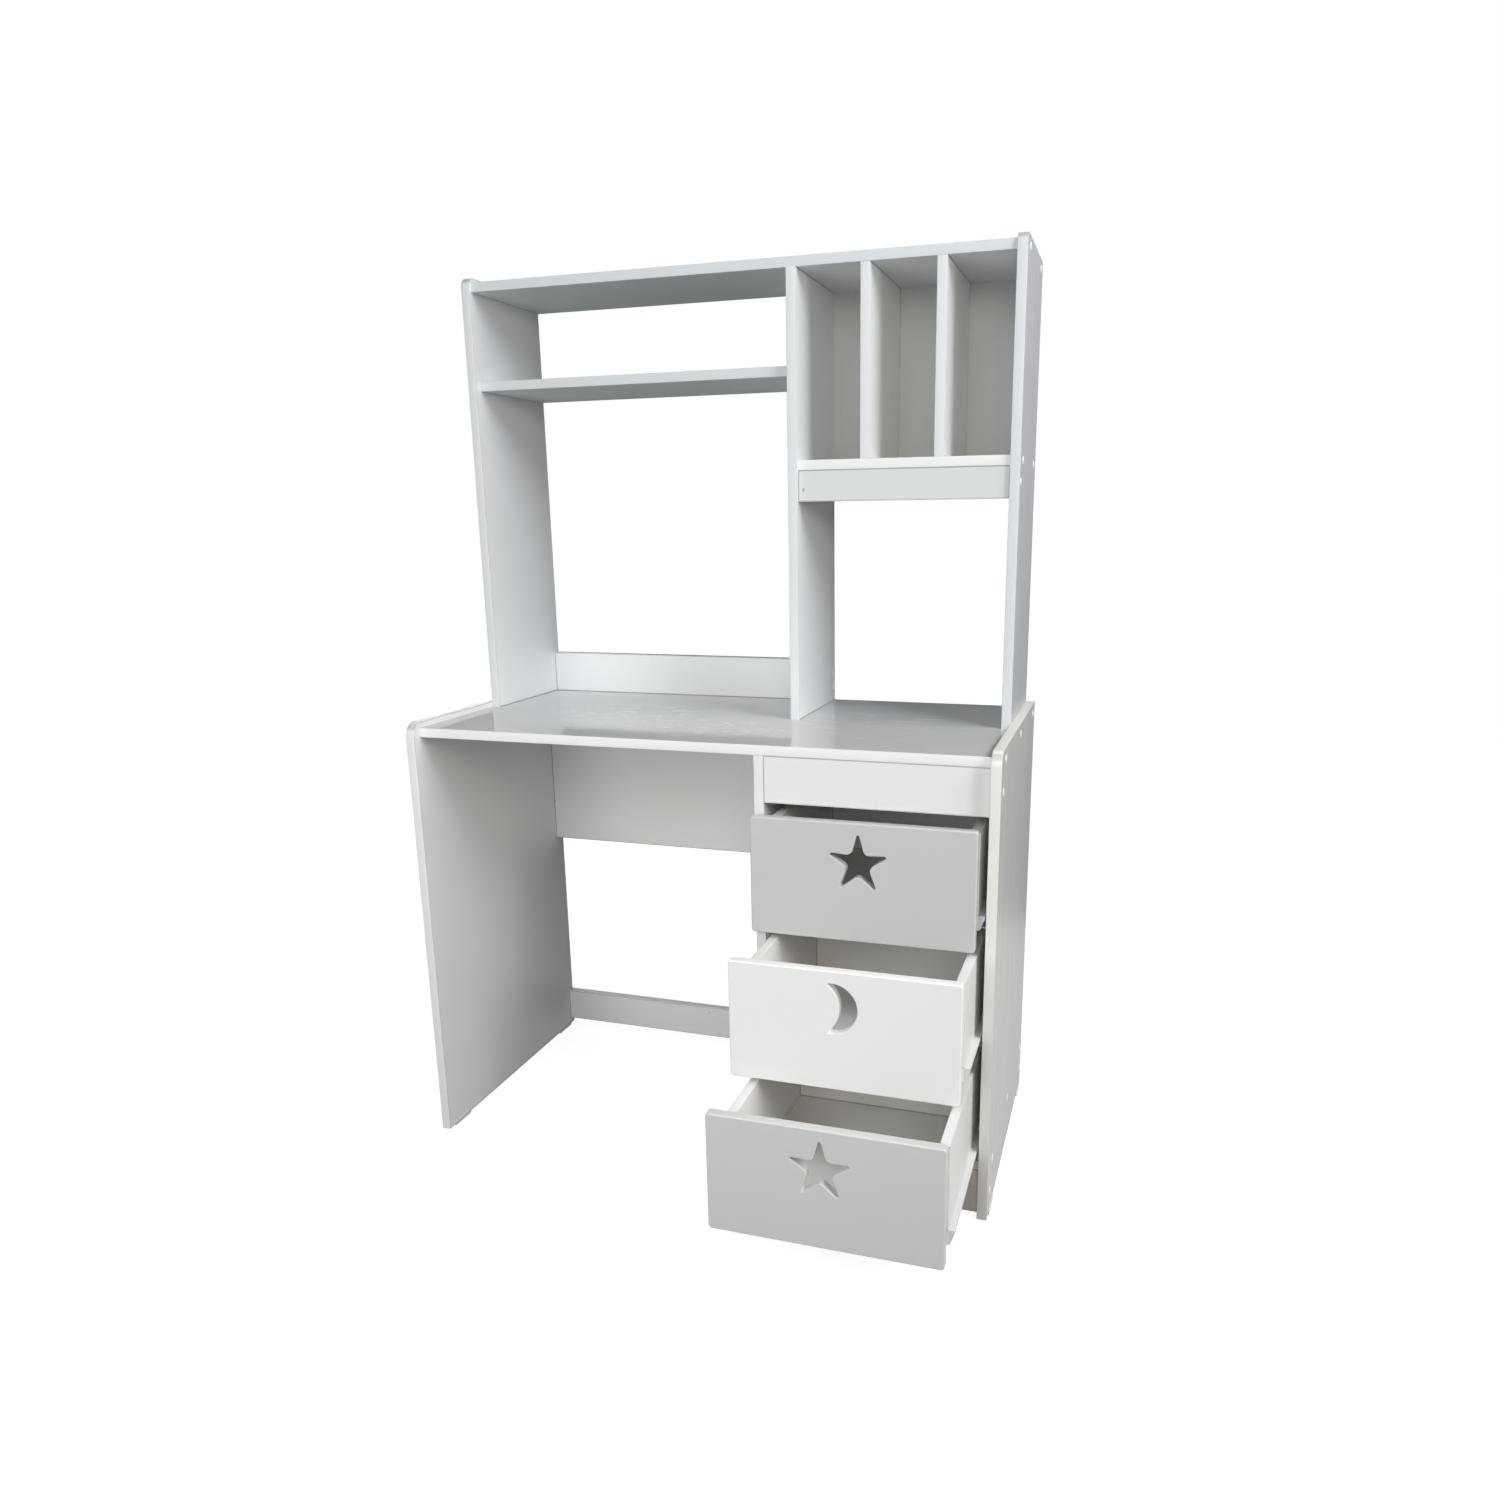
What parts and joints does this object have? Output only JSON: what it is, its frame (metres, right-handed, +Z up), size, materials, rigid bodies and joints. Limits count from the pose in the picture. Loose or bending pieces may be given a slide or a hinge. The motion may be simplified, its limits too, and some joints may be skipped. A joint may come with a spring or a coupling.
{
  "type": "student desk with hutch",
  "caption": "Free-standing student desk with a kneehole, a pedestal of drawers with star and moon finger pulls, and an open shelf unit on top.",
  "frame": {"origin": "on the floor, under the middle of the front glide of the left side panel", "axes": "+X to the right seen from the front, +Y towards the rear, +Z up; the drawers open towards -Y"},
  "size_m": [1.0032, 0.7065, 1.5],
  "materials": {
    "white_laminate": "white melamine laminate on particle board, satin gloss",
    "desktop_laminate": "light grey laminate with a high gloss and a cloudy wiped haze",
    "grey_laminate": "white melamine laminate, slightly greyer, satin",
    "lacquered_front": "white satin lacquer on fibreboard with softened rims",
    "grey_lacquered_front": "light grey satin lacquer on fibreboard with softened rims",
    "thin_board": "thin white-faced fibreboard, matte",
    "runner_steel": "white epoxy powder coat on folded steel sheet",
    "roller_plastic": "moulded nylon, matte",
    "screw_steel": "zinc plated steel",
    "cam_zinc": "die-cast zinc",
    "cap_plastic": "white moulded plastic, glossy",
    "glide_plastic": "translucent white polyethylene, satin",
    "dowel_beech": "bare beech"
  },
  "bodies": {
    "carcass": {"assembly_screws": "screw_steel", "cabinet_rollers": "roller_plastic", "cabinet_runner_screws": "screw_steel", "cabinet_runners": "runner_steel", "cover_caps": "cap_plastic", "cubby_apron": "grey_laminate", "cubby_back_panel": "thin_board", "cubby_left_divider": "white_laminate", "cubby_right_divider": "white_laminate", "cubby_shelf": "white_laminate", "desk_left_side": "white_laminate", "desk_right_side": "white_laminate", "desktop": "desktop_laminate", "floor_glides": "glide_plastic", "hutch_left_shelf": "white_laminate", "hutch_left_side": "white_laminate", "hutch_lower_rail": "white_laminate", "hutch_middle_panel": "white_laminate", "hutch_right_side": "white_laminate", "hutch_top": "white_laminate", "locating_dowels": "dowel_beech", "lower_back_rail": "grey_laminate", "modesty_panel": "grey_laminate", "pedestal_back_panel": "thin_board", "pedestal_bottom_panel": "white_laminate", "pedestal_front_plinth": "white_laminate", "pedestal_inner_panel": "white_laminate", "pedestal_rear_plinth": "white_laminate", "pedestal_top_rail": "white_laminate"},
    "top_drawer": {"drawer_1_back": "white_laminate", "drawer_1_back_screws": "screw_steel", "drawer_1_bottom": "thin_board", "drawer_1_cam_locks": "cam_zinc", "drawer_1_front": "grey_lacquered_front", "drawer_1_left_side": "white_laminate", "drawer_1_right_side": "white_laminate", "drawer_1_rollers": "roller_plastic", "drawer_1_runner_screws": "screw_steel", "drawer_1_runners": "runner_steel"},
    "middle_drawer": {"drawer_2_back": "white_laminate", "drawer_2_back_screws": "screw_steel", "drawer_2_bottom": "thin_board", "drawer_2_cam_locks": "cam_zinc", "drawer_2_front": "lacquered_front", "drawer_2_left_side": "white_laminate", "drawer_2_right_side": "white_laminate", "drawer_2_rollers": "roller_plastic", "drawer_2_runner_screws": "screw_steel", "drawer_2_runners": "runner_steel"},
    "bottom_drawer": {"drawer_3_back": "white_laminate", "drawer_3_back_screws": "screw_steel", "drawer_3_bottom": "thin_board", "drawer_3_cam_locks": "cam_zinc", "drawer_3_front": "grey_lacquered_front", "drawer_3_left_side": "white_laminate", "drawer_3_right_side": "white_laminate", "drawer_3_rollers": "roller_plastic", "drawer_3_runner_screws": "screw_steel", "drawer_3_runners": "runner_steel"}
  },
  "joints": [
    {"name": "top_drawer_slide", "type": "slide", "parent": "carcass", "child": "top_drawer", "axis": [0, -1, 0], "range_m": [-0.01, 0.22]},
    {"name": "middle_drawer_slide", "type": "slide", "parent": "carcass", "child": "middle_drawer", "axis": [0, -1, 0], "range_m": [-0.12, 0.11]},
    {"name": "bottom_drawer_slide", "type": "slide", "parent": "carcass", "child": "bottom_drawer", "axis": [0, -1, 0], "range_m": [-0.228, 0.002]}
  ]
}
